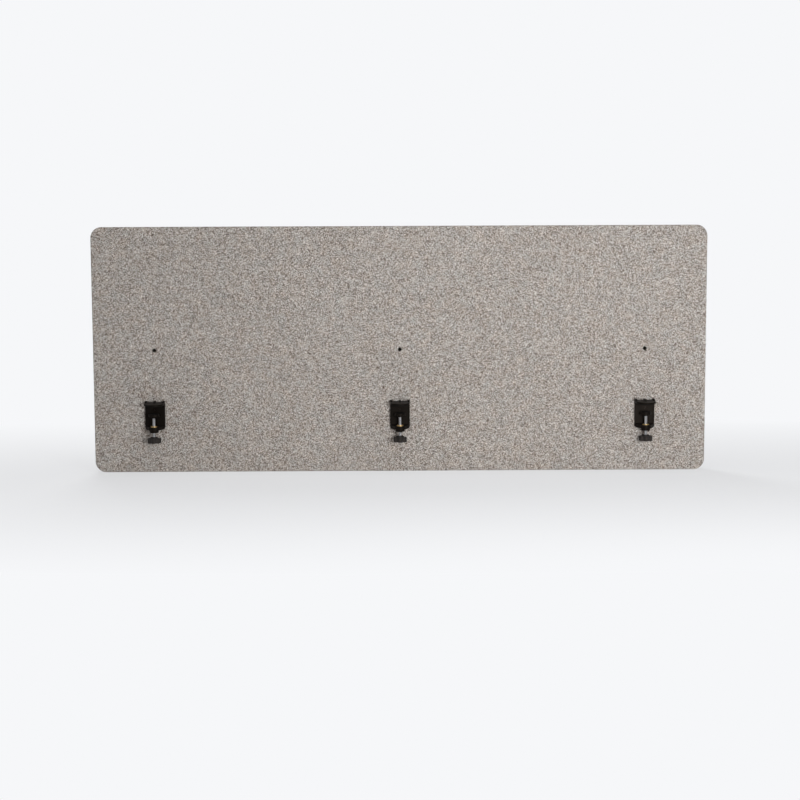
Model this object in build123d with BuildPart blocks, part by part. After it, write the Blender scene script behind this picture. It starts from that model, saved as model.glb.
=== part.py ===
from build123d import *

import os

# Divider screen: a felt panel that three screw clamps hold on the far edge of a board.
# The origin is on the middle clamp's screw axis, at the underside of its upper pad.
# X runs along the panel, +Y points from the clamps' noses to the panel, +Z is up.

# Fits and cuts
seat_clearance = 0.1
running_clearance = 0.05
park_gap = 0.5
cut_overrun = 1.0
pick_tolerance = 0.01

# Felt panel
panel_width = 1500.0
panel_height = 600.0
panel_thickness = 24.0
panel_corner_radius = 27.0
panel_edge_radius = 2.5
panel_drop = 165.0

# Clamp stations along the panel
station_inset = 150.0

# Board that the clamps grip: its thickness at rest, and the least and most they take
board_thickness = 18.0
smallest_grip = 8.0
largest_grip = 37.0

# Clamp body: a die-cast C with a round-nosed upper jaw and a tapered lower jaw
clamp_width = 48.0
clamp_reach = 50.0
clamp_edge_fillet = 0.8
spine_depth = 7.0
spine_corner_fillet = 5.0
jaw_root_thickness = 6.4
jaw_tip_thickness = 3.2
nose_fillet = 1.2
side_rib_width = 5.0
side_rib_rise = 2.9
centre_rib_width = 5.0
centre_rib_rise = 2.7
rib_level_run = 12.0
throat_top_fillet = 0.8
throat_bottom_fillet = 3.0
lower_jaw_thickness = 8.0
lower_jaw_tip_radius = 14.0
lower_jaw_fillet = 1.5
boss_radius = 11.0
boss_length = 6.0
web_width = 5.0
core_wall = 3.5
core_depth = 3.6
core_fillet = 1.5
bolt_boss_radius = 8.0

# Rubber pad under the upper jaw
jaw_pad_thickness = 3.0
jaw_pad_recess = 1.0
jaw_pad_inset = 3.5
jaw_pad_fillet = 0.6

# Flanged thread bush in the lower jaw
bush_radius = 6.5
bush_flange_radius = 8.5
bush_flange_thickness = 2.0
bush_chamfer = 0.6

# Clamp screw
screw_radius = 4.0
screw_chamfer = 0.7
spigot_radius = 3.0
spigot_tip_length = 0.8
spigot_chamfer = 0.3
ring_groove_radius = 2.4
ring_groove_width = 0.9

# Pressure foot with its retaining ring and rubber pad
foot_radius = 13.0
foot_height = 6.5
foot_hub_radius = 6.5
foot_hub_length = 3.5
foot_web = 2.2
foot_pocket_radius = 5.6
foot_chamfer = 0.6
foot_pad_radius = 11.0
foot_pad_thickness = 2.6
foot_pad_recess = 1.6
foot_pad_chamfer = 0.4
ring_radius = 4.5
ring_thickness = 0.7
ring_mouth = 3.4

# Knob on the screw's lower end
knob_radius = 17.0
knob_height = 15.0
knob_flutes = 6
knob_flute_radius = 7.0
knob_flute_depth = 3.0
knob_flute_fillet = 2.5
knob_rim_chamfer = 1.0
knob_collar_radius = 9.0
knob_collar_height = 3.0
knob_dish_radius = 11.5
knob_dish_depth = 2.0
knob_floor = 3.0

# Stay straps behind the panel
strap_width = 30.0
strap_thickness = 4.0
strap_end_margin = 13.0
strap_corner_radius = 10.0
strap_chamfer = 0.5

# Countersunk clamp bolts and their barrel nuts
clamp_bolt_radius = 3.0
clamp_bolt_head_radius = 5.9
clamp_bolt_length = 30.0
clamp_bolt_drop = 10.0
clamp_bolt_pitch = 31.0
clamp_bolt_flats = 4.0
clamp_bolt_socket_depth = 1.8
clamp_barrel_radius = 4.0
clamp_barrel_head_radius = 7.0
clamp_barrel_head_height = 2.6

# Domed stay screws at half height and their barrel nuts
stay_screw_radius = 2.5
stay_head_radius = 4.75
stay_head_height = 2.75
stay_head_land = 0.5
stay_screw_length = 22.0
stay_screw_flats = 3.0
stay_screw_socket_depth = 1.5
stay_barrel_radius = 3.5
stay_barrel_head_radius = 6.0
stay_barrel_head_height = 2.2

# What both kinds of barrel nut share
barrel_stop_gap = 1.0
barrel_bore_gap = 1.5
barrel_flats = 4.0
barrel_socket_depth = 1.3
barrel_head_chamfer = 0.8

# Places along Y
nose_radius = clamp_width / 2
panel_face_y = clamp_reach - nose_radius
panel_back_y = panel_face_y + panel_thickness
strap_back_y = panel_back_y + strap_thickness
throat_y = panel_face_y - spine_depth

# Heights, from the gripped face at zero
panel_centre_z = panel_height / 2 - panel_drop
jaw_z = jaw_pad_thickness - jaw_pad_recess
jaw_root_z = jaw_z + jaw_root_thickness
jaw_tip_z = jaw_z + jaw_tip_thickness
clamp_top_z = jaw_root_z + side_rib_rise
foot_face_z = -board_thickness
foot_seat_z = foot_face_z - foot_pad_thickness
foot_rim_z = foot_seat_z + foot_pad_recess
foot_disc_z = foot_rim_z - foot_height
foot_pocket_z = foot_disc_z + foot_web
shoulder_z = foot_disc_z - foot_hub_length
ring_z = foot_pocket_z + (ring_groove_width - ring_thickness) / 2
spigot_top_z = foot_pocket_z + ring_groove_width + spigot_tip_length
bush_top_z = shoulder_z - (largest_grip - board_thickness) - park_gap
lower_jaw_top_z = bush_top_z - bush_flange_thickness
lower_jaw_z = lower_jaw_top_z - lower_jaw_thickness
boss_z = lower_jaw_z - boss_length
knob_top_z = boss_z - (board_thickness - smallest_grip) - park_gap
knob_shoulder_z = knob_top_z - knob_collar_height
knob_z = knob_top_z - knob_height
screw_z = knob_z + knob_dish_depth + knob_floor
clamp_bolt_zs = [-clamp_bolt_drop, -clamp_bolt_drop - clamp_bolt_pitch]
stay_z = panel_centre_z
strap_bottom_z = clamp_bolt_zs[-1] - strap_end_margin
strap_top_z = stay_z + strap_end_margin

# Places along X
station_pitch = panel_width / 2 - station_inset
stations = {"left": -station_pitch, "mid": 0, "right": station_pitch}
clamp_bolt_places = [(x, z) for x in stations.values() for z in clamp_bolt_zs]
stay_places = [(x, stay_z) for x in stations.values()]


def tongue_outline(half_width, back_y):
    """Plan of the upper jaw: a straight run that ends in a half-round nose about the origin."""
    with BuildSketch() as tongue:
        with BuildLine():
            nose = CenterArc((0, 0), half_width, 180, 180)
            Polyline(nose @ 1, (half_width, back_y), (-half_width, back_y), nose @ 0)
        make_face()
    return tongue.sketch


def jaw_rib(width, top_z, foot_y):
    """Rib on the upper jaw, level at its root and then falling to the jaw at foot_y."""
    with BuildPart() as rib:
        with BuildSketch(Plane.YZ):
            with BuildLine():
                Polyline(
                    (panel_face_y, jaw_z),
                    (panel_face_y, top_z),
                    (panel_face_y - rib_level_run, top_z),
                    (foot_y, jaw_tip_z),
                    (foot_y, jaw_z),
                    close=True,
                )
            make_face()
        extrude(amount=width / 2, both=True)
        upper_faces = rib.faces().filter_by(lambda face: face.normal_at().Z > pick_tolerance)
        fillet(upper_faces.edges().filter_by(Axis.X, reverse=True), radius=clamp_edge_fillet)
    return rib.part


def barrel_nut(barrel_radius, bore_radius, screw_tip_y, head_radius, head_height):
    """Nut with a long barrel through strap and panel, and a domed head behind the strap."""
    tip_y = panel_face_y + barrel_stop_gap
    with BuildPart() as nut:
        with BuildSketch(Plane.XZ.offset(-tip_y)):
            Circle(barrel_radius)
        extrude(amount=tip_y - strap_back_y)
        with BuildSketch(Plane.XZ.offset(-strap_back_y)):
            Circle(head_radius)
        extrude(amount=-head_height)
        chamfer(nut.faces().sort_by(Axis.Y)[-1].edges(), length=barrel_head_chamfer)
        with BuildSketch(Plane.XZ.offset(-tip_y)):
            Circle(bore_radius + seat_clearance)
        extrude(amount=tip_y - screw_tip_y - barrel_bore_gap, mode=Mode.SUBTRACT)
        with BuildSketch(Plane.XZ.offset(-strap_back_y - head_height)):
            RegularPolygon(barrel_flats / 2, 6, major_radius=False)
        extrude(amount=barrel_socket_depth, mode=Mode.SUBTRACT)
    return nut.part


# Felt panel with holes for the barrel nuts
with BuildPart() as panel:
    with BuildSketch(Plane.XZ.offset(-panel_face_y)):
        with Locations((0, panel_centre_z)):
            RectangleRounded(panel_width, panel_height, panel_corner_radius)
    extrude(amount=-panel_thickness)
    fillet(panel.faces().filter_by(Axis.Y).edges(), radius=panel_edge_radius)
    with BuildSketch(Plane.XZ.offset(-panel_face_y)):
        with Locations(*clamp_bolt_places):
            Circle(clamp_barrel_radius + seat_clearance)
        with Locations(*stay_places):
            Circle(stay_barrel_radius + seat_clearance)
    extrude(amount=-panel_thickness, mode=Mode.SUBTRACT)

# Space that the clamp body is trimmed to: round nose above, tapered jaw below
throat_middle_z = (jaw_z + lower_jaw_top_z) / 2
with BuildPart() as clamp_envelope:
    with BuildSketch(Plane.XY.offset(throat_middle_z)):
        add(tongue_outline(nose_radius, panel_face_y))
    extrude(amount=clamp_top_z - throat_middle_z)
    with BuildSketch(Plane.XY.offset(throat_middle_z)):
        Circle(lower_jaw_tip_radius)
        with Locations((0, throat_y)):
            Rectangle(clamp_width, spine_depth, align=(Align.CENTER, Align.MIN))
        make_hull()
    extrude(amount=lower_jaw_z - throat_middle_z)

# Clamp body
with BuildPart() as clamp_body:
    # C-shaped side view, the upper jaw thinner towards its nose
    with BuildSketch(Plane.YZ):
        with BuildLine():
            c_outline = {
                (panel_face_y, lower_jaw_z): 0,
                (panel_face_y, jaw_root_z): 0,
                (throat_y, jaw_root_z): 0,
                (-nose_radius, jaw_tip_z): 0,
                (-nose_radius, jaw_z): 0,
                (throat_y, jaw_z): throat_top_fillet,
                (throat_y, lower_jaw_top_z): throat_bottom_fillet,
                (-nose_radius, lower_jaw_top_z): 0,
                (-nose_radius, lower_jaw_z): 0,
            }
            FilletPolyline(*c_outline, radius=c_outline.values(), close=True)
        make_face()
    extrude(amount=nose_radius, both=True)
    add(clamp_envelope.part, mode=Mode.INTERSECT)
    nose_face = clamp_body.faces().filter_by(GeomType.CYLINDER).sort_by(Axis.Y)[0]
    fillet(nose_face.edges().sort_by(Axis.Z)[-1], radius=nose_fillet)
    # Rounded lower corners of the spine, and the edge of the lower jaw
    spine_corners = clamp_body.edges().filter_by(Axis.Y).group_by(Axis.Z)[0]
    fillet(spine_corners, radius=spine_corner_fillet)
    # Side ribs that end where the nose turns in, and a centre rib that runs further out
    for rib_x in (side_rib_width / 2 - nose_radius, nose_radius - side_rib_width / 2):
        with Locations((rib_x, 0, 0)):
            add(jaw_rib(side_rib_width, clamp_top_z, 0))
    add(jaw_rib(centre_rib_width, jaw_root_z + centre_rib_rise, -nose_radius / 2))
    # Screw boss under the lower jaw, and a web from it to the spine
    with BuildSketch(Plane.XY.offset(lower_jaw_z)):
        Circle(boss_radius)
    extrude(amount=-boss_length)
    fillet(clamp_body.faces().sort_by(Axis.Z)[0].edges(), radius=lower_jaw_fillet)
    with BuildSketch(Plane.YZ):
        with BuildLine():
            Polyline(
                (0, lower_jaw_z),
                (0, boss_z + lower_jaw_fillet),
                (boss_radius, boss_z + lower_jaw_fillet),
                (panel_face_y, lower_jaw_z),
                close=True,
            )
        make_face()
    extrude(amount=web_width / 2, both=True)
    # Cored back of the spine, with a boss left round each bolt
    with BuildSketch(Plane.XZ.offset(-panel_face_y)):
        with Locations((0, (jaw_root_z + lower_jaw_z) / 2)):
            RectangleRounded(
                clamp_width - 2 * core_wall,
                jaw_root_z - lower_jaw_z - 2 * core_wall,
                core_fillet,
            )
        with Locations(*[(0, z) for z in clamp_bolt_zs]):
            Circle(bolt_boss_radius, mode=Mode.SUBTRACT)
            Rectangle(clamp_width, core_wall, mode=Mode.SUBTRACT)
    extrude(amount=core_depth, mode=Mode.SUBTRACT)
    # Countersunk bolt holes, flush in the throat
    with Locations(Plane.XZ.offset(-throat_y)):
        with Locations(*[(0, z) for z in clamp_bolt_zs]):
            CounterSinkHole(
                clamp_bolt_radius + seat_clearance,
                clamp_bolt_head_radius + seat_clearance,
                depth=spine_depth,
                counter_sink_angle=90,
            )
    # Seat of the rubber pad and bore for the thread bush
    with BuildSketch(Plane.XY.offset(jaw_z)):
        add(tongue_outline(nose_radius - jaw_pad_inset, throat_y - jaw_pad_inset))
    extrude(amount=jaw_pad_recess, mode=Mode.SUBTRACT)
    with BuildSketch(Plane.XY.offset(lower_jaw_top_z)):
        Circle(bush_radius + seat_clearance)
    extrude(amount=boss_z - lower_jaw_top_z, mode=Mode.SUBTRACT)

# Rubber pad under the upper jaw
pad_inset = jaw_pad_inset + seat_clearance
with BuildPart() as jaw_pad:
    with BuildSketch(Plane.XY):
        add(tongue_outline(nose_radius - pad_inset, throat_y - pad_inset))
    extrude(amount=jaw_pad_thickness)
    fillet(jaw_pad.faces().sort_by(Axis.Z)[0].edges(), radius=jaw_pad_fillet)

# Thread bush, its flange on the lower jaw where the screw's thrust bears
with BuildPart() as thread_bush:
    with BuildSketch(Plane.XY.offset(bush_top_z)):
        Circle(bush_flange_radius)
    extrude(amount=-bush_flange_thickness)
    with BuildSketch(Plane.XY.offset(lower_jaw_top_z)):
        Circle(bush_radius)
    extrude(amount=boss_z - lower_jaw_top_z)
    chamfer(thread_bush.faces().sort_by(Axis.Z)[-1].edges(), length=bush_chamfer)
    with BuildSketch(Plane.XY.offset(bush_top_z)):
        Circle(screw_radius + running_clearance)
    extrude(amount=boss_z - bush_top_z, mode=Mode.SUBTRACT)

# Clamp screw: shank, shoulder, and a grooved spigot that the foot turns on
with BuildPart() as clamp_screw:
    with BuildSketch(Plane.XZ):
        with BuildLine():
            Polyline(
                (0, screw_z),
                (screw_radius - screw_chamfer, screw_z),
                (screw_radius, screw_z + screw_chamfer),
                (screw_radius, shoulder_z),
                (spigot_radius, shoulder_z),
                (spigot_radius, foot_pocket_z),
                (ring_groove_radius, foot_pocket_z),
                (ring_groove_radius, foot_pocket_z + ring_groove_width),
                (spigot_radius, foot_pocket_z + ring_groove_width),
                (spigot_radius, spigot_top_z - spigot_chamfer),
                (spigot_radius - spigot_chamfer, spigot_top_z),
                (0, spigot_top_z),
                close=True,
            )
        make_face()
    revolve(axis=Axis.Z)

# Pressure foot: a dished disc with a hub below and a pocket for the retaining ring
with BuildPart() as foot:
    with BuildSketch(Plane.XY.offset(foot_disc_z)):
        Circle(foot_radius)
    extrude(amount=foot_height)
    chamfer(foot.edges().filter_by(GeomType.CIRCLE), length=foot_chamfer)
    with BuildSketch(Plane.XY.offset(foot_disc_z)):
        Circle(foot_hub_radius)
    extrude(amount=-foot_hub_length)
    with BuildSketch(Plane.XY.offset(foot_rim_z)):
        Circle(foot_pad_radius + seat_clearance)
    extrude(amount=-foot_pad_recess, mode=Mode.SUBTRACT)
    with BuildSketch(Plane.XY.offset(foot_seat_z)):
        Circle(foot_pocket_radius)
    extrude(amount=foot_pocket_z - foot_seat_z, mode=Mode.SUBTRACT)
    with BuildSketch(Plane.XY.offset(foot_pocket_z)):
        Circle(spigot_radius + running_clearance)
    extrude(amount=shoulder_z - foot_pocket_z, mode=Mode.SUBTRACT)

# Open retaining ring in the spigot's groove
with BuildPart() as foot_ring:
    with BuildSketch(Plane.XY.offset(ring_z)):
        Circle(ring_radius)
        Circle(ring_groove_radius + seat_clearance, mode=Mode.SUBTRACT)
        Rectangle(
            ring_mouth,
            ring_radius + cut_overrun,
            align=(Align.CENTER, Align.MIN),
            mode=Mode.SUBTRACT,
        )
    extrude(amount=ring_thickness)

# Rubber pad in the foot's dish
with BuildPart() as foot_pad:
    with BuildSketch(Plane.XY.offset(foot_seat_z)):
        Circle(foot_pad_radius)
    extrude(amount=foot_pad_thickness)
    chamfer(foot_pad.faces().sort_by(Axis.Z)[-1].edges(), length=foot_pad_chamfer)

# Fluted knob, moulded on the screw's lower end
with BuildPart() as knob:
    with BuildSketch(Plane.XY.offset(knob_z)) as knob_outline:
        Circle(knob_radius)
        with PolarLocations(knob_radius + knob_flute_radius - knob_flute_depth, knob_flutes):
            Circle(knob_flute_radius, mode=Mode.SUBTRACT)
        fillet(knob_outline.vertices(), radius=knob_flute_fillet)
    extrude(amount=knob_shoulder_z - knob_z)
    chamfer(knob.faces().filter_by(Axis.Z).edges(), length=knob_rim_chamfer)
    with BuildSketch(Plane.XY.offset(knob_shoulder_z)):
        Circle(knob_collar_radius)
    extrude(amount=knob_collar_height)
    fillet(knob.faces().sort_by(Axis.Z)[-1].edges(), radius=clamp_edge_fillet)
    with BuildSketch(Plane.XY.offset(knob_z)):
        Circle(knob_dish_radius)
    extrude(amount=knob_dish_depth, mode=Mode.SUBTRACT)
    with BuildSketch(Plane.XY.offset(knob_top_z)):
        Circle(screw_radius + running_clearance)
    extrude(amount=screw_z - knob_top_z, mode=Mode.SUBTRACT)

# Flat steel strap behind the panel, from the clamp's bolts up to the stay screw
with BuildPart() as stay_strap:
    with BuildSketch(Plane.XZ.offset(-panel_back_y)):
        with Locations((0, (strap_top_z + strap_bottom_z) / 2)):
            RectangleRounded(strap_width, strap_top_z - strap_bottom_z, strap_corner_radius)
    extrude(amount=-strap_thickness)
    chamfer(stay_strap.faces().sort_by(Axis.Y)[-1].edges(), length=strap_chamfer)
    with BuildSketch(Plane.XZ.offset(-panel_back_y)):
        with Locations(*[(0, z) for z in clamp_bolt_zs]):
            Circle(clamp_barrel_radius + seat_clearance)
        with Locations((0, stay_z)):
            Circle(stay_barrel_radius + seat_clearance)
    extrude(amount=-strap_thickness, mode=Mode.SUBTRACT)

# One countersunk clamp bolt about the Y axis, with a hexagon socket
clamp_bolt_tip_y = throat_y + clamp_bolt_length
with BuildPart() as clamp_bolt:
    with BuildSketch(Plane.YZ):
        with BuildLine():
            Polyline(
                (throat_y, 0),
                (throat_y, clamp_bolt_head_radius),
                (throat_y + clamp_bolt_head_radius - clamp_bolt_radius, clamp_bolt_radius),
                (clamp_bolt_tip_y, clamp_bolt_radius),
                (clamp_bolt_tip_y, 0),
                close=True,
            )
        make_face()
    revolve(axis=Axis.Y)
    with BuildSketch(Plane.XZ.offset(-throat_y)):
        RegularPolygon(clamp_bolt_flats / 2, 6, major_radius=False)
    extrude(amount=-clamp_bolt_socket_depth, mode=Mode.SUBTRACT)

# One domed stay screw about the Y axis, its head on the panel's face
stay_head_y = panel_face_y - stay_head_height
stay_tip_y = panel_face_y + stay_screw_length
with BuildPart() as stay_screw:
    with BuildSketch(Plane.YZ):
        with BuildLine():
            dome = TangentArc(
                (stay_head_y, 0),
                (panel_face_y - stay_head_land, stay_head_radius),
                tangent=(0, 1),
            )
            Polyline(
                dome @ 1,
                (panel_face_y, stay_head_radius),
                (panel_face_y, stay_screw_radius),
                (stay_tip_y, stay_screw_radius),
                (stay_tip_y, 0),
                dome @ 0,
            )
        make_face()
    revolve(axis=Axis.Y)
    with BuildSketch(Plane.XZ.offset(-stay_head_y)):
        RegularPolygon(stay_screw_flats / 2, 6, major_radius=False)
    extrude(amount=-stay_screw_socket_depth, mode=Mode.SUBTRACT)

clamp_barrel = barrel_nut(
    clamp_barrel_radius,
    clamp_bolt_radius,
    clamp_bolt_tip_y,
    clamp_barrel_head_radius,
    clamp_barrel_head_height,
)
stay_barrel = barrel_nut(
    stay_barrel_radius,
    stay_screw_radius,
    stay_tip_y,
    stay_barrel_head_radius,
    stay_barrel_head_height,
)

os.makedirs("parts", exist_ok=True)
panel.part.label = "panel"
export_step(panel.part, "parts/panel.step")

# Identical fasteners, one group of separate solids for each kind
fasteners = {
    "clamp_bolts": (clamp_bolt.part, clamp_bolt_places),
    "clamp_barrel_nuts": (clamp_barrel, clamp_bolt_places),
    "stay_screws": (stay_screw.part, stay_places),
    "stay_barrel_nuts": (stay_barrel, stay_places),
}
for name, (fastener, places) in fasteners.items():
    with BuildPart() as group:
        with Locations(*[(x, 0, z) for x, z in places]):
            add(fastener)
    group.part.label = name
    export_step(group.part, f"parts/{name}.step")

# The pieces of one clamp, placed at each station
clamp_pieces = {
    "clamp_body": clamp_body,
    "jaw_pad": jaw_pad,
    "thread_bush": thread_bush,
    "clamp_screw": clamp_screw,
    "knob": knob,
    "foot": foot,
    "foot_ring": foot_ring,
    "foot_pad": foot_pad,
    "stay_strap": stay_strap,
}
for station, station_x in stations.items():
    for name, piece in clamp_pieces.items():
        with BuildPart() as placed:
            with Locations((station_x, 0, 0)):
                add(piece.part)
        placed.part.label = f"{name}_{station}"
        export_step(placed.part, f"parts/{name}_{station}.step")
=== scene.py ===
import math

import bpy
import numpy as np
from mathutils import Matrix, Vector, noise


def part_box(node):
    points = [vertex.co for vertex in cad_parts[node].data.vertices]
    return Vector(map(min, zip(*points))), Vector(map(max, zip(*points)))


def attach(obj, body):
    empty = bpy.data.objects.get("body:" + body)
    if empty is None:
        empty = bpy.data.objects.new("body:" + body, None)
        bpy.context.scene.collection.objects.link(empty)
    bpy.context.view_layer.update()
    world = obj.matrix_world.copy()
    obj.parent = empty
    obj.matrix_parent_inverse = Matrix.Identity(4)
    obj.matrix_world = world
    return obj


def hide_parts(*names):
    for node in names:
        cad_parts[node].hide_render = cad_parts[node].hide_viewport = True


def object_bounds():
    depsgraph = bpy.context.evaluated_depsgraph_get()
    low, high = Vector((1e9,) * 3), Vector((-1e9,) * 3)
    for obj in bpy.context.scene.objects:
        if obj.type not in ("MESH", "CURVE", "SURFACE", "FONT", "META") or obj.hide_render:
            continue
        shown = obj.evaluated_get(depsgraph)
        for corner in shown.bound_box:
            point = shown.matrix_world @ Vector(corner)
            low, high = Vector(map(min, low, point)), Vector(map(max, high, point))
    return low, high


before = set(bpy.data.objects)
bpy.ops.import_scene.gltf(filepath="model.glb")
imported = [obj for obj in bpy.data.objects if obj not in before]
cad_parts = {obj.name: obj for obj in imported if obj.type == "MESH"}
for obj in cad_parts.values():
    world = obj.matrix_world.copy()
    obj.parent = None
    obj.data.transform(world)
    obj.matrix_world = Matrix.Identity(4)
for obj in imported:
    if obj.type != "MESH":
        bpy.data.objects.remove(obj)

cad_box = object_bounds()

MM = 0.001
STATIONS = ("left", "mid", "right")
PLACE_DECIMALS = 4
SHARP_ANGLE = math.radians(40)

# Camera, in the frame's own metres
CAMERA_PLACE = Vector((-0.0197, -3.6152, 0.3599))
CAMERA_PITCH_DOWN = math.radians(5.483)
CAMERA_YAW = math.radians(0.313)
CAMERA_ROLL = math.radians(0.247)
CAMERA_FOCAL_SHARE = 1.863
SENSOR_WIDTH_MM = 36

# Studio: the tone behind the object, the floor that fades into it, and the soft light
BACKDROP_COLOUR = (0.922, 0.930, 0.947, 1)
FLOOR_HALF_SIDE = 40
FLOOR_FADE_START = 0.3
FLOOR_FADE_END = 1.2
FLOOR_FADE_ACROSS = 0.35
FLOOR_LEAST_FADE = 0.55
WORLD_LIGHT = 0.25
WHITE_LIGHT = (1, 1, 1, 1)
# Each lamp's place, target, diameter and power in watts
LAMPS = {
    "key": ((0.75, -2.15, 0.2), (0, 0, 0.15), 0.7, 26),
    "overhead": ((0.4, -0.5, 2.6), (0.2, 0, 0), 2.4, 14),
    "back_fill": ((-1.0, 3.0, 1.8), (0, 0, 0.1), 2.0, 60),
}

# Felt panel: its outline, its soft edge, and how far it stands proud between the hardware
FELT_CORNER_RADIUS = 27 * MM
FELT_EDGE_RADIUS = 3 * MM
FELT_PROUD = 0.5 * MM
FELT_WAVE_HEIGHT = 0.25 * MM
# Each wave's share of the height, and its frequency across, layer and frequency up
FELT_WAVES = ((1, 9, 0.3, 11), (0.5, 31, 4.1, 29))
FELT_PRESS_REACH = 6 * MM
FELT_COARSE_STEP = 12 * MM
FELT_FINE_STEP = 2 * MM
FELT_EDGE_LINES = 7
FELT_SIDE_STEPS = 6
HOLE_SIDES = 32
HOLE_CLEARANCE = 0.1 * MM
BARREL_RADII = {"clamp_barrel_nuts": 4 * MM, "stay_barrel_nuts": 3.5 * MM}

# Clamp screw: metric thread, spigot and ring groove
THREAD_LEAD = 1.25 * MM
THREAD_DEPTH_SHARE = 0.61
THREAD_CREST_SHARE = 0.125
THREAD_ROOT_SHARE = 0.25
THREAD_RUN_OUT = 2 * MM
THREAD_SIDES = 32
THREAD_STEPS_PER_TURN = 8
SCREW_CHAMFER = 0.7 * MM
SPIGOT_RADIUS = 3 * MM
SPIGOT_CHAMFER = 0.3 * MM
GROOVE_RADIUS = 2.4 * MM
GROOVE_CLEARANCE = 0.1 * MM

# Felt pattern: how fine each part of it is, in features along a metre
FELT_WANDER_SCALE = 700
FELT_LONG_FIBRE_SCALE = 260
FELT_SHORT_FIBRE_SCALE = 420
FELT_CLUMP_SCALE = 850
FELT_TUFT_SCALE = 1450
FELT_FLECK_SCALE = 640
FELT_CLOUD_SCALE = 50
# How far wander and fibres drag the pattern, and how the fibres run
FELT_WANDER_DRAG = 2.2 * MM
FELT_LONG_FIBRE_DRAG = (2.6 * MM, 1.3 * MM, -1.3 * MM)
FELT_SHORT_FIBRE_DRAG = (1.3 * MM, -1.3 * MM, 2 * MM)
FELT_SHORT_FIBRE_OFFSET = 3.7
FIBRE_SLENDERNESS = 9
FIBRE_SCALE_SHARE = 1.3
FELT_NAP_HEIGHT = 0.5 * MM
# Fibre colours from dark to pale, and the tints of warm and cool patches
FELT_TONE_SHIFT = -0.135
FELT_TONES = (
    (0.32, (0.020, 0.008, 0.002)),
    (0.47, (0.112, 0.068, 0.042)),
    (0.57, (0.410, 0.361, 0.323)),
    (0.67, (0.742, 0.698, 0.652)),
    (0.82, (0.890, 0.858, 0.817)),
)
FELT_TINT_SHIFT = -0.65
FELT_TINTS = ((0, (1, 0.96, 0.92)), (0.5, (1, 1, 1)), (1, (0.94, 0.98, 1)))

# Coats: colour, roughness, gloss, grain features along a metre, and grain height
COATS = {
    "black_rubber": ((0.006, 0.006, 0.006), 0.8, 0.10, 1800, 0.05 * MM),
    "powder_coat_black": ((0.0040, 0.0033, 0.0027), 0.45, 0.08, 1400, 0.03 * MM),
    "black_oxide": ((0.0024, 0.0017, 0.0012), 0.40, 0.10, 2600, 0.01 * MM),
    "moulded_black": ((0.011, 0.011, 0.011), 0.55, 0.30, 2200, 0.04 * MM),
    "strap_coat_black": ((0.0110, 0.0104, 0.0098), 0.5, 0.30, 1100, 0.03 * MM),
}
COAT_GLOSS_TINT = (1, 0.82, 0.70, 1)
COAT_CLOUD_SCALE = 60
COAT_PALER = 1.35
# Turned metals: colour and roughness
TURNED_METALS = {"zinc_steel": ((0.56, 0.56, 0.57), 0.34), "turned_brass": ((0.70, 0.50, 0.24), 0.34)}
RING_SCALE = 2400
RING_DRIFT = 0.15
RING_DARKER = 0.8
RING_HEIGHT = 0.02 * MM
# Where a soft pattern's low and high tones lie in a ramp
RAMP_LOW, RAMP_HIGH = 0.3, 0.7

# The material of each node, without its station's name
NODE_FINISHES = {
    "panel": "heathered_felt",
    "clamp_body": "powder_coat_black",
    "jaw_pad": "black_rubber",
    "thread_bush": "turned_brass",
    "clamp_screw": "zinc_steel",
    "knob": "moulded_black",
    "foot_ring": "zinc_steel",
    "foot_pad": "black_rubber",
    "foot": "powder_coat_black",
    "stay_strap": "strap_coat_black",
    "clamp_bolts": "black_oxide",
    "clamp_barrel_nuts": "black_oxide",
    "stay_screws": "black_oxide",
    "stay_barrel_nuts": "black_oxide",
}


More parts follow.
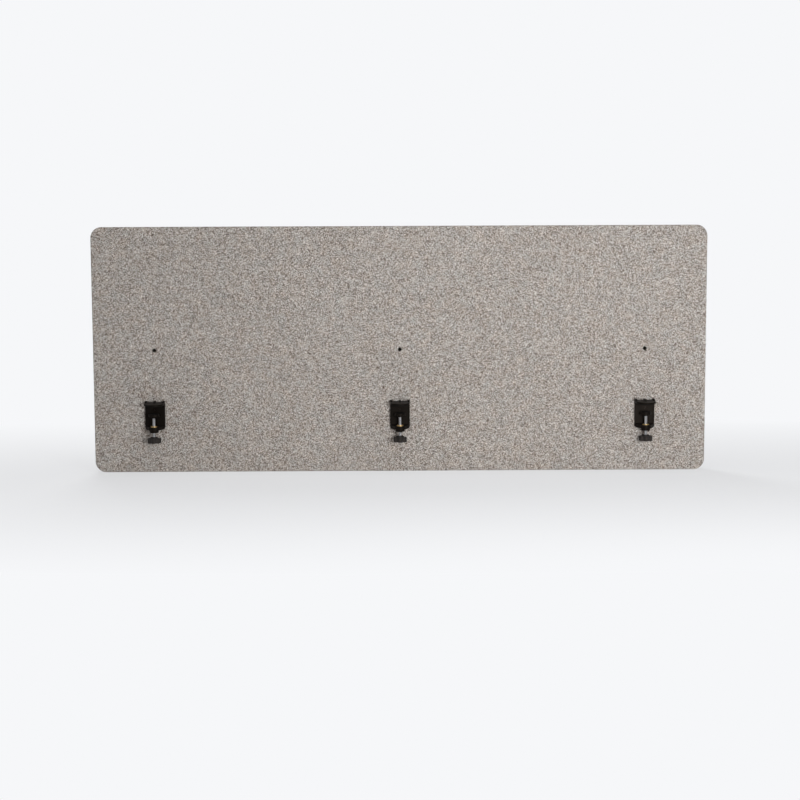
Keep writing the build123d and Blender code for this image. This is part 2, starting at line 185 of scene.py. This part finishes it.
class Graph:
    """Short calls that add and join the nodes of one node tree."""

    def __init__(self, tree):
        self.tree = tree

    def put(self, socket, value):
        if isinstance(value, bpy.types.NodeSocket):
            self.tree.links.new(value, socket)
        else:
            socket.default_value = value

    def add(self, kind, inputs, **settings):
        """Adds a node, each input a value or a socket that is joined to it, and returns its outputs."""
        node = self.tree.nodes.new("ShaderNode" + kind)
        for key, value in settings.items():
            setattr(node, key, value)
        for key, value in inputs.items():
            self.put(node.inputs[key], value)
        return node.outputs

    def place(self):
        return self.add("TexCoord", {})["Object"]

    def math(self, operation, first, second):
        return self.add("Math", {0: first, 1: second}, operation=operation)[0]

    def vector(self, operation, first, second):
        return self.add("VectorMath", {0: first, 1: second}, operation=operation)[0]

    def weighted_sum(self, *pairs):
        """Sum of (value, weight) pairs."""
        total = 0.0
        for value, weight in pairs:
            total = self.add("Math", {0: value, 1: weight, 2: total}, operation="MULTIPLY_ADD")[0]
        return total

    def varied(self, middle, *pairs):
        """A value that (pattern, weight) pairs vary about its middle, each pattern from 0 to 1."""
        return self.weighted_sum(*pairs, (1.0, middle - sum(weight for _, weight in pairs) / 2))

    def noise(self, place, scale, detail=2.0, roughness=0.5):
        inputs = {"Vector": place, "Scale": scale, "Detail": detail, "Roughness": roughness}
        return self.add("TexNoise", inputs)

    def cells(self, place, scale):
        """Three random values of the irregular cell that each point lies in."""
        colour = self.add("TexVoronoi", {"Vector": place, "Scale": scale})["Color"]
        return self.add("SeparateColor", {"Color": colour})

    def ramp(self, factor, stops):
        """Colour along (position, colour) stops."""
        outputs = self.add("ValToRGB", {"Fac": factor})
        elements = outputs["Color"].node.color_ramp.elements
        while len(elements) < len(stops):
            elements.new(1.0)
        for element, (position, colour) in zip(elements, stops):
            element.position = position
            element.color = (*colour, 1)
        return outputs["Color"]

    def multiply_colours(self, first, second):
        """Product of two colours, which a colour mix takes at its inputs 6 and 7."""
        inputs = {0: 1.0, 6: first, 7: second}
        return self.add("Mix", inputs, data_type="RGBA", blend_type="MULTIPLY")[2]

    def bump(self, height, distance, strength):
        inputs = {"Height": height, "Distance": distance, "Strength": strength}
        return self.add("Bump", inputs)["Normal"]


def new_material(name, **constants):
    """A material, its graph, and the inputs of its shader with the constants set."""
    material = bpy.data.materials.new(name)
    material.use_nodes = True
    graph = Graph(material.node_tree)
    inputs = material.node_tree.nodes["Principled BSDF"].inputs
    for key, value in constants.items():
        inputs[key.replace("_", " ")].default_value = value
    return material, graph, inputs


def fibre_streaks(graph, place, cell_scale, offset):
    """Short fibre bundles: the streaks of each small cell run in a direction of their own."""
    shifted = graph.vector("ADD", place, (offset, offset, offset))
    turn = graph.math("MULTIPLY", graph.cells(shifted, cell_scale)[0], 2 * math.pi)
    inputs = {"Vector": shifted, "Axis": (0, 1, 0), "Angle": turn}
    turned = graph.add("VectorRotate", inputs, rotation_type="AXIS_ANGLE")[0]
    drawn_out = graph.vector("MULTIPLY", turned, (1, 1, FIBRE_SLENDERNESS))
    return graph.noise(drawn_out, FIBRE_SCALE_SHARE * cell_scale, 3.0, 0.6)["Fac"]


def frayed_place(graph, place, long_streaks, short_streaks):
    """The place with wander and fibre streaks added, so that a pattern there has frayed edges."""
    wander = graph.noise(place, FELT_WANDER_SCALE)["Color"]
    wander = graph.vector("SUBTRACT", wander, (0.5, 0.5, 0.5))
    wander = graph.vector("MULTIPLY", wander, (FELT_WANDER_DRAG, FELT_WANDER_DRAG, FELT_WANDER_DRAG))
    frayed = graph.vector("ADD", place, wander)
    for streaks, drag in ((long_streaks, FELT_LONG_FIBRE_DRAG), (short_streaks, FELT_SHORT_FIBRE_DRAG)):
        frayed = graph.vector("ADD", frayed, graph.vector("MULTIPLY", streaks, drag))
    return frayed


def felt_material():
    """Heathered grey felt: frayed clumps of dark and pale fibre, warm and cool patches, soft sheen."""
    material, graph, inputs = new_material(
        "heathered_felt", Roughness=0.95, Specular_IOR_Level=0.2, Sheen_Weight=0.12, Sheen_Roughness=0.6
    )
    place = graph.place()
    long_streaks = fibre_streaks(graph, place, FELT_LONG_FIBRE_SCALE, 0)
    short_streaks = fibre_streaks(graph, place, FELT_SHORT_FIBRE_SCALE, FELT_SHORT_FIBRE_OFFSET)
    frayed = frayed_place(graph, place, long_streaks, short_streaks)
    clumps = graph.cells(frayed, FELT_CLUMP_SCALE)
    tufts = graph.cells(frayed, FELT_TUFT_SCALE)
    flecks = graph.noise(frayed, FELT_FLECK_SCALE, 0.0)["Fac"]
    tone = graph.weighted_sum(
        (clumps[0], 0.40), (tufts[0], 0.22), (flecks, 0.45), (long_streaks, 0.18), (short_streaks, 0.15),
        (1.0, FELT_TONE_SHIFT),
    )
    clouds = graph.noise(place, FELT_CLOUD_SCALE, 2.0)["Fac"]
    tint = graph.weighted_sum((clumps[2], 0.4), (clouds, 1.9), (1.0, FELT_TINT_SHIFT))
    colour = graph.multiply_colours(graph.ramp(tone, FELT_TONES), graph.ramp(tint, FELT_TINTS))
    nap = graph.weighted_sum((long_streaks, 0.5), (short_streaks, 0.3), (tufts[1], 0.2))
    graph.put(inputs["Base Color"], colour)
    graph.put(inputs["Normal"], graph.bump(nap, FELT_NAP_HEIGHT, 0.6))
    return material


def coat_material(name, colour, roughness, gloss, grain_scale, grain_height):
    """Black coat, moulded plastic or rubber: a fine grain, and slight clouds in tone and gloss."""
    constants = {"Specular_IOR_Level": gloss, "Specular_Tint": COAT_GLOSS_TINT}
    material, graph, inputs = new_material(name, **constants)
    place = graph.place()
    clouds = graph.noise(place, COAT_CLOUD_SCALE, 3.0)["Fac"]
    grain = graph.noise(place, grain_scale)["Fac"]
    paler = tuple(COAT_PALER * part for part in colour)
    graph.put(inputs["Base Color"], graph.ramp(clouds, [(RAMP_LOW, colour), (RAMP_HIGH, paler)]))
    graph.put(inputs["Roughness"], graph.varied(roughness, (clouds, 0.12), (grain, 0.06)))
    graph.put(inputs["Normal"], graph.bump(grain, grain_height, 0.7))
    return material


def turned_metal_material(name, colour, roughness):
    """Turned metal with fine rings about its own upright axis."""
    material, graph, inputs = new_material(name, Metallic=1.0)
    flattened = graph.vector("MULTIPLY", graph.place(), (RING_DRIFT, RING_DRIFT, 1))
    rings = graph.noise(flattened, RING_SCALE, 3.0)["Fac"]
    darker = tuple(RING_DARKER * part for part in colour)
    graph.put(inputs["Base Color"], graph.ramp(rings, [(RAMP_LOW, darker), (RAMP_HIGH, colour)]))
    graph.put(inputs["Roughness"], graph.varied(roughness, (rings, 0.2)))
    graph.put(inputs["Normal"], graph.bump(rings, RING_HEIGHT, 0.5))
    return material


def mesh_object(name, points, faces, *materials):
    """A smooth-shaded mesh object whose points are in the frame's own metres."""
    mesh = bpy.data.meshes.new(name)
    mesh.from_pydata([tuple(point) for point in points], [], [tuple(face) for face in faces])
    mesh.update()
    for material in materials:
        mesh.materials.append(material)
    mesh.set_sharp_from_angle(angle=SHARP_ANGLE)
    made = bpy.data.objects.new(name, mesh)
    bpy.context.scene.collection.objects.link(made)
    return made


def centre_x(node):
    low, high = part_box(node)
    return (low.x + high.x) / 2


def nearness(distance, reach):
    """1 where a piece bears on the felt, easing to 0 at reach outside it."""
    share = np.clip(1 - distance / reach, 0, 1)
    return share * share * (3 - 2 * share)


def outside_box(x, z, node):
    """Distance in X and Z from each point to a node's box, zero inside it."""
    low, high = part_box(node)
    across = np.maximum(np.maximum(low.x - x, x - high.x), 0)
    up = np.maximum(np.maximum(low.z - z, z - high.z), 0)
    return np.hypot(across, up)


def grid_lines(low, high, fine_spans):
    """Grid places from low to high, close in the fine spans and closest where the edge is rounded."""
    rounding = FELT_EDGE_RADIUS * (1 - np.cos(np.linspace(0, math.pi / 2, FELT_EDGE_LINES)))
    corner = np.arange(FELT_EDGE_RADIUS + FELT_FINE_STEP, FELT_CORNER_RADIUS, FELT_FINE_STEP)
    ends = np.concatenate([rounding, corner, [FELT_CORNER_RADIUS]])
    first, last = low + FELT_CORNER_RADIUS, high - FELT_CORNER_RADIUS
    spans = [np.arange(first, last, FELT_COARSE_STEP)]
    spans += [np.arange(start, stop, FELT_FINE_STEP) for start, stop in fine_spans]
    middle = np.unique(np.round(np.concatenate(spans), PLACE_DECIMALS))
    middle = middle[(middle > first + MM) & (middle < last - MM)]
    return np.concatenate([low + ends, middle, high - ends[::-1]])


def round_corners(x, z, low, high):
    """Bends a grid's corner squares to quarter discs. Also gives each point's depth in the outline."""
    radius = FELT_CORNER_RADIUS
    core_x = np.clip(x, low.x + radius, high.x - radius)
    core_z = np.clip(z, low.z + radius, high.z - radius)
    u, v = (x - core_x) / radius, (z - core_z) / radius
    bent_x = core_x + radius * u * np.sqrt(1 - v * v / 2)
    bent_z = core_z + radius * v * np.sqrt(1 - u * u / 2)
    in_corner = radius - np.hypot(bent_x - core_x, bent_z - core_z)
    from_sides = np.minimum(x - low.x, high.x - x)
    from_ends = np.minimum(z - low.z, high.z - z)
    depth = np.where((u != 0) & (v != 0), in_corner, np.minimum(from_sides, from_ends))
    return bent_x, bent_z, np.maximum(depth, 0)


def felt_waves(x, z):
    """Faint unevenness of the pressed board, as a height at each grid point."""
    heights = [
        sum(share * noise.noise((across * px, layer, up * pz)) for share, across, layer, up in FELT_WAVES)
        for px, pz in zip(x.flat, z.flat)
    ]
    return FELT_WAVE_HEIGHT * np.reshape(heights, x.shape)


def felt_press(x, z):
    """How far the hardware presses the felt's front and back, from 0 to 1 at each grid point."""
    head_low, head_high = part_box("stay_screws")
    head_z = (head_low.z + head_high.z) / 2
    head_radius = (head_high.z - head_low.z) / 2
    front, back = np.zeros_like(x), np.zeros_like(x)
    for station in STATIONS:
        from_clamp = outside_box(x, z, f"clamp_body_{station}")
        from_head = np.hypot(x - centre_x(f"clamp_body_{station}"), z - head_z) - head_radius
        from_strap = outside_box(x, z, f"stay_strap_{station}")
        front = np.maximum(front, nearness(np.minimum(from_clamp, from_head), FELT_PRESS_REACH))
        back = np.maximum(back, nearness(from_strap, FELT_PRESS_REACH))
    return front, back


def felt_grid():
    """Grid of the panel's front view, close wherever the felt's surface changes."""
    low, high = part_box("panel")
    margin = FELT_PRESS_REACH + FELT_FINE_STEP
    spans_x = []
    for station in STATIONS:
        clamp_low, clamp_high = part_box(f"clamp_body_{station}")
        spans_x.append((clamp_low.x - margin, clamp_high.x + margin))
    strap_low, strap_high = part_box("stay_strap_mid")
    head_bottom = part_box("stay_screws")[0].z
    spans_z = [
        (strap_low.z - margin, clamp_high.z + margin),
        (head_bottom - margin, strap_high.z + margin),
    ]
    lines_x = grid_lines(low.x, high.x, spans_x)
    lines_z = grid_lines(low.z, high.z, spans_z)
    return round_corners(*np.meshgrid(lines_x, lines_z), low, high)


def felt_panel(material):
    """The pressed felt board: soft edges, faint unevenness, pressed in where hardware bears on it."""
    low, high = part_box("panel")
    x, z, depth = felt_grid()
    into_edge = FELT_EDGE_RADIUS - np.clip(depth, 0, FELT_EDGE_RADIUS)
    fall = FELT_EDGE_RADIUS - np.sqrt(np.maximum(FELT_EDGE_RADIUS**2 - into_edge**2, 0))
    swell = (FELT_PROUD + felt_waves(x, z)) * np.clip(depth / FELT_CORNER_RADIUS, 0, 1)
    front_press, back_press = felt_press(x, z)
    front_y = low.y + fall - swell * (1 - front_press)
    back_y = high.y - fall + swell * (1 - back_press)

    front = np.stack([x, front_y, z], axis=-1).reshape(-1, 3)
    back = np.stack([x, back_y, z], axis=-1).reshape(-1, 3)
    index = np.arange(x.size).reshape(x.shape)
    quads = np.stack([index[:-1, :-1], index[:-1, 1:], index[1:, 1:], index[1:, :-1]], axis=-1)
    quads = quads.reshape(-1, 4)
    rim = np.concatenate([index[0, :-1], index[:-1, -1], index[-1, :0:-1], index[:0:-1, 0]])
    points, rings = [front, back], [rim]
    for step in range(1, FELT_SIDE_STEPS):
        rings.append(np.arange(len(rim)) + sum(map(len, points)))
        points.append(front[rim] + (back[rim] - front[rim]) * step / FELT_SIDE_STEPS)
    rings.append(rim + len(front))
    faces = [quads, quads[:, ::-1] + len(front)]
    for ring, behind in zip(rings, rings[1:]):
        faces.append(np.stack([ring, behind, np.roll(behind, -1), np.roll(ring, -1)], axis=-1))
    return mesh_object("felt_panel", np.concatenate(points), np.concatenate(faces), material)


def barrel_places():
    """X, Z and hole radius of each barrel nut, from the boxes of the nodes that hold them."""
    places = []
    for node, radius in BARREL_RADII.items():
        low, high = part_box(node)
        head_radius = centre_x("clamp_body_left") - low.x
        heights = {round(z, PLACE_DECIMALS) for z in (low.z + head_radius, high.z - head_radius)}
        for station in STATIONS:
            for z in sorted(heights):
                places.append((centre_x(f"clamp_body_{station}"), z, radius + HOLE_CLEARANCE))
    return places


def cut_barrel_holes(panel):
    """Cuts a round hole through the panel for each barrel nut."""
    low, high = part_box("panel")
    turns = np.linspace(0, 2 * math.pi, HOLE_SIDES, endpoint=False)
    points, faces = [], []
    for x, z, radius in barrel_places():
        ring = np.arange(HOLE_SIDES) + len(points)
        for y in (low.y - FELT_EDGE_RADIUS, high.y + FELT_EDGE_RADIUS):
            points += [(x + radius * math.cos(turn), y, z + radius * math.sin(turn)) for turn in turns]
        faces += [ring, (ring + HOLE_SIDES)[::-1]]
        for a, b in zip(ring, np.roll(ring, -1)):
            faces.append((b, a, a + HOLE_SIDES, b + HOLE_SIDES))
    cutter = mesh_object("hole_cutter", points, faces)
    cut = panel.modifiers.new("holes", "BOOLEAN")
    cut.object = cutter
    cut.operation = "DIFFERENCE"
    cut.solver = "EXACT"
    evaluated = panel.evaluated_get(bpy.context.evaluated_depsgraph_get())
    panel.data = bpy.data.meshes.new_from_object(evaluated)
    panel.modifiers.clear()
    bpy.data.objects.remove(cutter)
    panel.data.set_sharp_from_angle(angle=SHARP_ANGLE)


def thread_tooth(phase):
    """Depth of a metric thread as a share of its full depth, at a phase from 0 to 1 along the lead."""
    from_crest = abs(2 * (phase % 1) - 1)
    flank = 1 - THREAD_CREST_SHARE - THREAD_ROOT_SHARE
    return min(max((from_crest - THREAD_CREST_SHARE) / flank, 0), 1)


def clamp_screw(station, material):
    """The clamp screw with its real thread from the knob up to the foot."""
    low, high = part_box(f"clamp_screw_{station}")
    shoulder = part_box(f"foot_{station}")[0].z
    ring_low, ring_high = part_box(f"foot_ring_{station}")
    knob_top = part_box(f"knob_{station}")[1].z
    axis_x, radius = (low.x + high.x) / 2, (high.x - low.x) / 2
    groove_low, groove_high = ring_low.z - GROOVE_CLEARANCE, ring_high.z + GROOVE_CLEARANCE
    thread_low, thread_high = knob_top - THREAD_RUN_OUT, shoulder
    turns = (thread_high - thread_low) / THREAD_LEAD
    heights = np.linspace(thread_low, thread_high, round(turns * THREAD_STEPS_PER_TURN) + 1)
    run_out = np.clip(np.minimum(heights - thread_low, thread_high - heights) / THREAD_RUN_OUT, 0, 1)
    rings = [(low.z, radius - SCREW_CHAMFER, 0), (low.z + SCREW_CHAMFER, radius, 0)]
    rings += [(z, radius, share * THREAD_DEPTH_SHARE * THREAD_LEAD) for z, share in zip(heights, run_out)]
    rings += [
        (shoulder, SPIGOT_RADIUS, 0),
        (groove_low, SPIGOT_RADIUS, 0),
        (groove_low, GROOVE_RADIUS, 0),
        (groove_high, GROOVE_RADIUS, 0),
        (groove_high, SPIGOT_RADIUS, 0),
        (high.z - SPIGOT_CHAMFER, SPIGOT_RADIUS, 0),
        (high.z, SPIGOT_RADIUS - SPIGOT_CHAMFER, 0),
    ]
    points, faces = [], []
    for z, full_radius, depth in rings:
        for side in range(THREAD_SIDES):
            turn = side / THREAD_SIDES
            r = full_radius - depth * thread_tooth(z / THREAD_LEAD - turn)
            angle = 2 * math.pi * turn
            points.append((axis_x + r * math.cos(angle), r * math.sin(angle), z))
    index = np.arange(len(points)).reshape(-1, THREAD_SIDES)
    for ring, above in zip(index, index[1:]):
        faces += list(zip(ring, np.roll(ring, -1), np.roll(above, -1), above))
    faces += [index[0][::-1], index[-1]]
    return mesh_object(f"threaded_screw_{station}", points, faces, material)


def floor_material():
    """Pale floor that takes the object's soft shadow and meets the backdrop's tone further off."""
    material, graph, inputs = new_material("pale_floor", Roughness=1.0, Specular_IOR_Level=0)
    inputs["Base Color"].default_value = BACKDROP_COLOUR
    glow = graph.add("Emission", {"Color": BACKDROP_COLOUR, "Strength": 1.0})[0]
    narrowed = graph.vector("MULTIPLY", graph.place(), (FLOOR_FADE_ACROSS, 1, 1))
    away = graph.add("VectorMath", {0: narrowed}, operation="LENGTH")["Value"]
    fade = {"From Min": FLOOR_FADE_START, "From Max": FLOOR_FADE_END, "To Min": FLOOR_LEAST_FADE}
    far = graph.add("MapRange", {"Value": away, **fade})[0]
    seen = graph.math("MULTIPLY", far, graph.add("LightPath", {})["Is Camera Ray"])
    output = material.node_tree.nodes["Material Output"]
    surface = material.node_tree.nodes["Principled BSDF"].outputs[0]
    graph.put(output.inputs["Surface"], graph.add("MixShader", {0: seen, 1: surface, 2: glow})[0])
    return material


def add_floor():
    """A level floor under the object's lowest point."""
    signs = ((-1, -1), (1, -1), (1, 1), (-1, 1))
    corners = [(FLOOR_HALF_SIDE * x, FLOOR_HALF_SIDE * y, cad_box[0].z) for x, y in signs]
    mesh_object("floor", corners, [(0, 1, 2, 3)], floor_material())


def add_world():
    """Even pale light all round. The camera, gloss and clear things see the backdrop's tone."""
    world = bpy.data.worlds.new("studio")
    bpy.context.scene.world = world
    world.use_nodes = True
    graph = Graph(world.node_tree)
    paths = graph.add("LightPath", {})
    seen = graph.math("MAXIMUM", paths["Is Camera Ray"], paths["Is Glossy Ray"])
    seen = graph.math("MAXIMUM", seen, paths["Is Transmission Ray"])
    light = graph.add("Background", {"Color": WHITE_LIGHT, "Strength": WORLD_LIGHT})[0]
    backdrop = graph.add("Background", {"Color": BACKDROP_COLOUR, "Strength": 1.0})[0]
    output = world.node_tree.nodes["World Output"]
    graph.put(output.inputs["Surface"], graph.add("MixShader", {0: seen, 1: light, 2: backdrop})[0])


def add_lamp(name, place, target, size, power):
    """A round soft light."""
    lamp = bpy.data.lights.new(name, "AREA")
    lamp.shape = "DISK"
    lamp.size = size
    lamp.energy = power
    made = bpy.data.objects.new(name, lamp)
    made.location = place
    made.rotation_euler = (Vector(target) - Vector(place)).to_track_quat("-Z", "Y").to_euler()
    bpy.context.scene.collection.objects.link(made)


def add_camera():
    """The photograph's camera: its place, its small turns and its field of view."""
    cos_pitch, sin_pitch = math.cos(CAMERA_PITCH_DOWN), math.sin(CAMERA_PITCH_DOWN)
    cos_yaw, sin_yaw = math.cos(CAMERA_YAW), math.sin(CAMERA_YAW)
    cos_roll, sin_roll = math.cos(CAMERA_ROLL), math.sin(CAMERA_ROLL)
    forward = Vector((sin_yaw * cos_pitch, cos_yaw * cos_pitch, -sin_pitch))
    level_right = Vector((cos_yaw, -sin_yaw, 0))
    level_down = forward.cross(level_right)
    right = cos_roll * level_right + sin_roll * level_down
    up = sin_roll * level_right - cos_roll * level_down
    lens = bpy.data.cameras.new("camera")
    lens.sensor_width = SENSOR_WIDTH_MM
    lens.lens = CAMERA_FOCAL_SHARE * SENSOR_WIDTH_MM
    camera = bpy.data.objects.new("camera", lens)
    turn = Matrix((right, up, -forward)).transposed()
    camera.matrix_world = Matrix.Translation(CAMERA_PLACE) @ turn.to_4x4()
    bpy.context.scene.collection.objects.link(camera)
    bpy.context.scene.camera = camera


add_camera()

materials = {"heathered_felt": felt_material()}
for name, values in TURNED_METALS.items():
    materials[name] = turned_metal_material(name, *values)
for name, values in COATS.items():
    materials[name] = coat_material(name, *values)
for name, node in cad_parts.items():
    for station in STATIONS:
        name = name.removesuffix(f"_{station}")
    for material_slot in node.material_slots:
        material_slot.material = materials[NODE_FINISHES[name]]

panel = felt_panel(materials[NODE_FINISHES["panel"]])
cut_barrel_holes(panel)
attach(panel, "screen")
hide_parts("panel")
for station in STATIONS:
    screw = clamp_screw(station, materials[NODE_FINISHES["clamp_screw"]])
    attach(screw, f"spindle_{station}")
    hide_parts(f"clamp_screw_{station}")

add_floor()
add_world()
for name, values in LAMPS.items():
    add_lamp(name, *values)
bpy.context.scene.view_settings.view_transform = "Standard"
